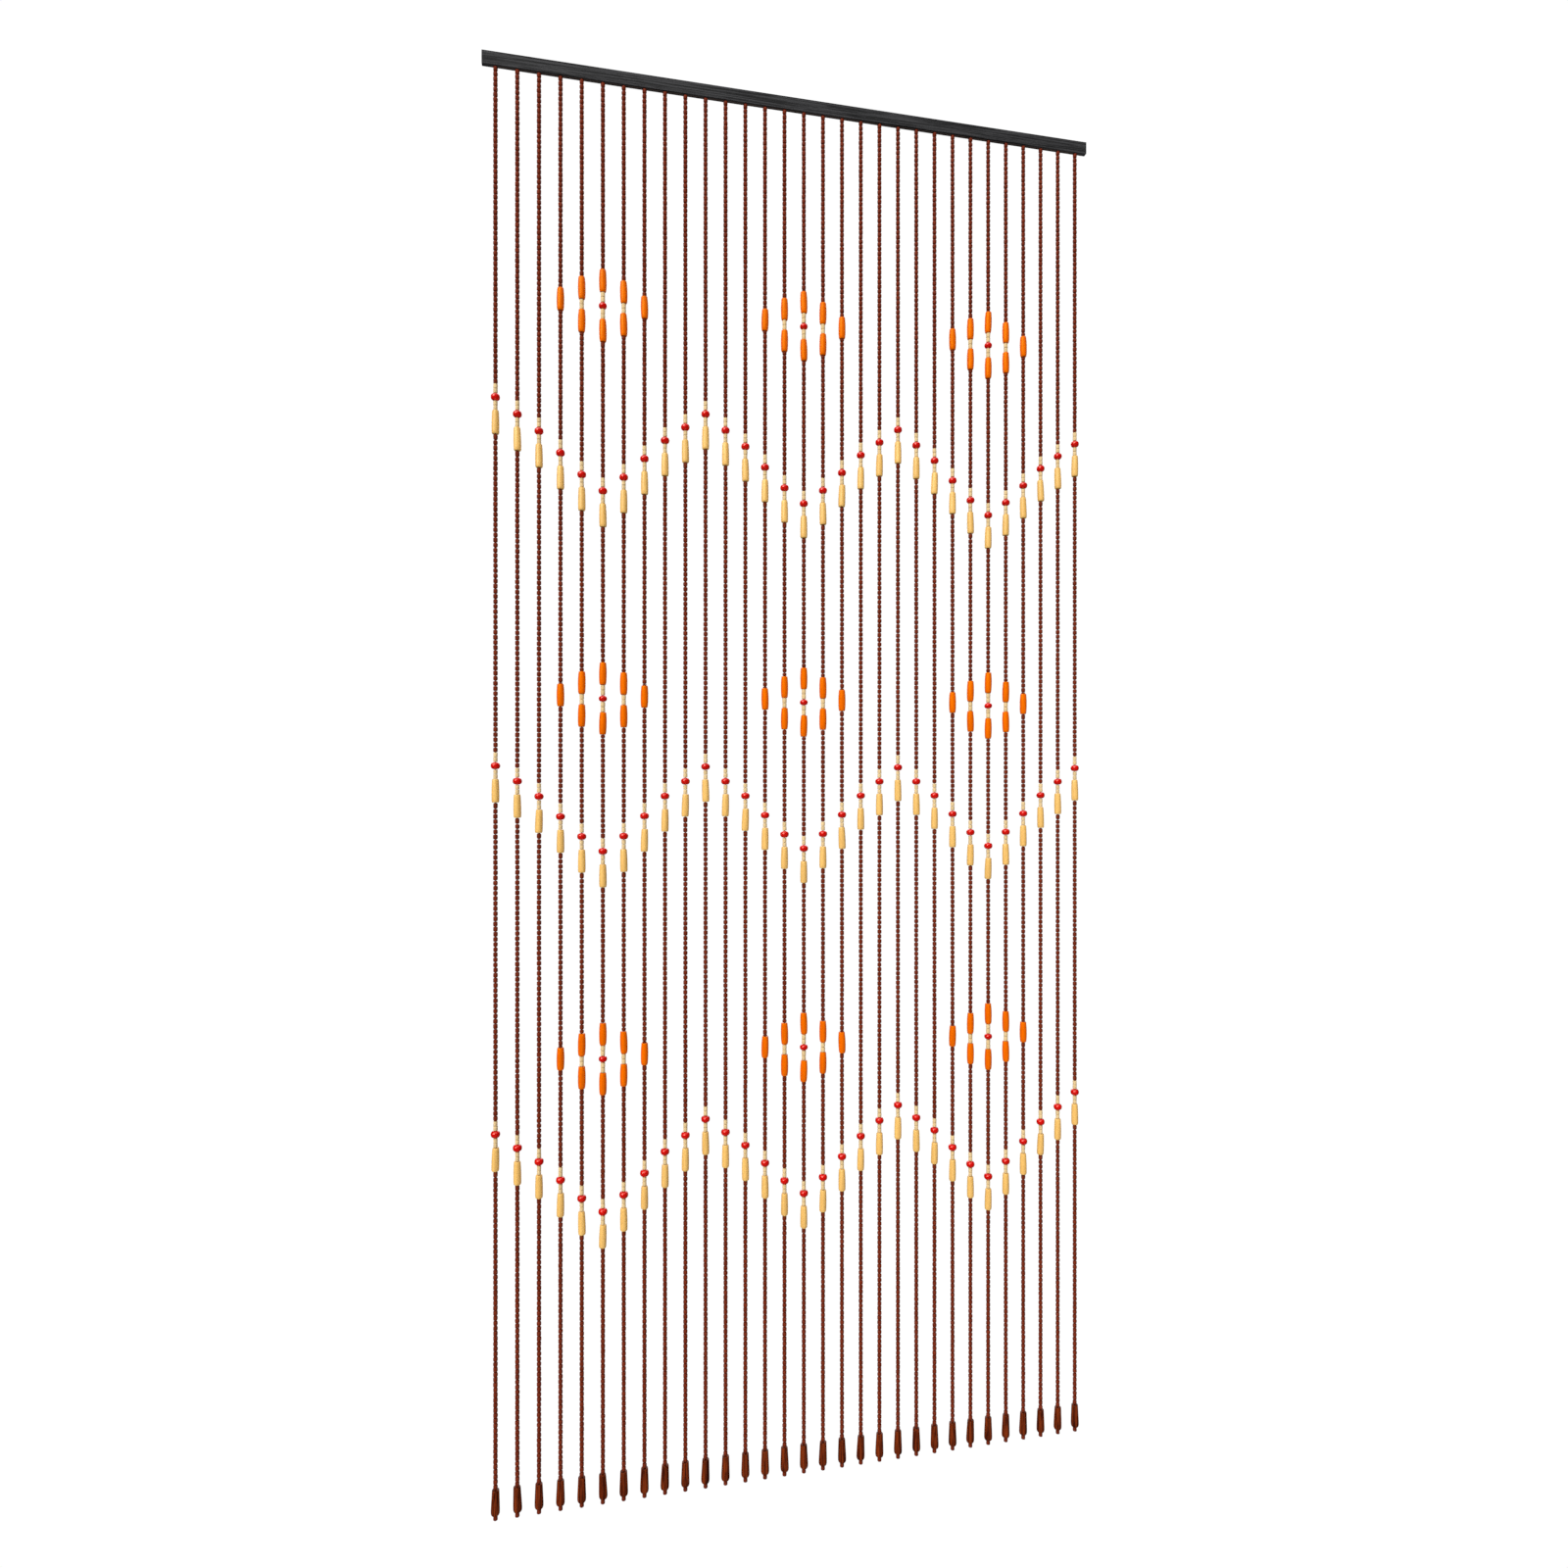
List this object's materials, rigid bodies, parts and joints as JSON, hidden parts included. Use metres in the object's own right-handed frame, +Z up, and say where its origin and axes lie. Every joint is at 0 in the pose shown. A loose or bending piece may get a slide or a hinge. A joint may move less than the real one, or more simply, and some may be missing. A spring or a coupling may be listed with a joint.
{
  "type": "bead curtain with its wooden header bar",
  "caption": "Doorway curtain of straight strings of wooden beads, with zigzag rows and flower figures, hanging from a flat wooden header bar.",
  "frame": {"origin": "middle of the header bar's top face, which lies against the underside of a lintel", "axes": "+X along the bar, +Y from the front to the back of the curtain, +Z up; the strands hang down to Z = -2.0 m"},
  "size_m": [0.9, 0.0122, 2],
  "materials": {
    "charcoal_bar": "charcoal black stain over a fine straight grain, satin",
    "brown_bead": "reddish mahogany brown stain, satin",
    "cream_bead": "pale yellow natural wood, satin",
    "red_bead": "bright red gloss lacquer",
    "orange_bead": "orange stain, satin",
    "dark_drop": "dark brown stain over a lengthwise grain, satin",
    "string": "thin twisted brown thread"
  },
  "bodies": {
    "root": {"header_bar": "charcoal_bar", "bead_strands": "brown_bead"}
  },
  "joints": []
}
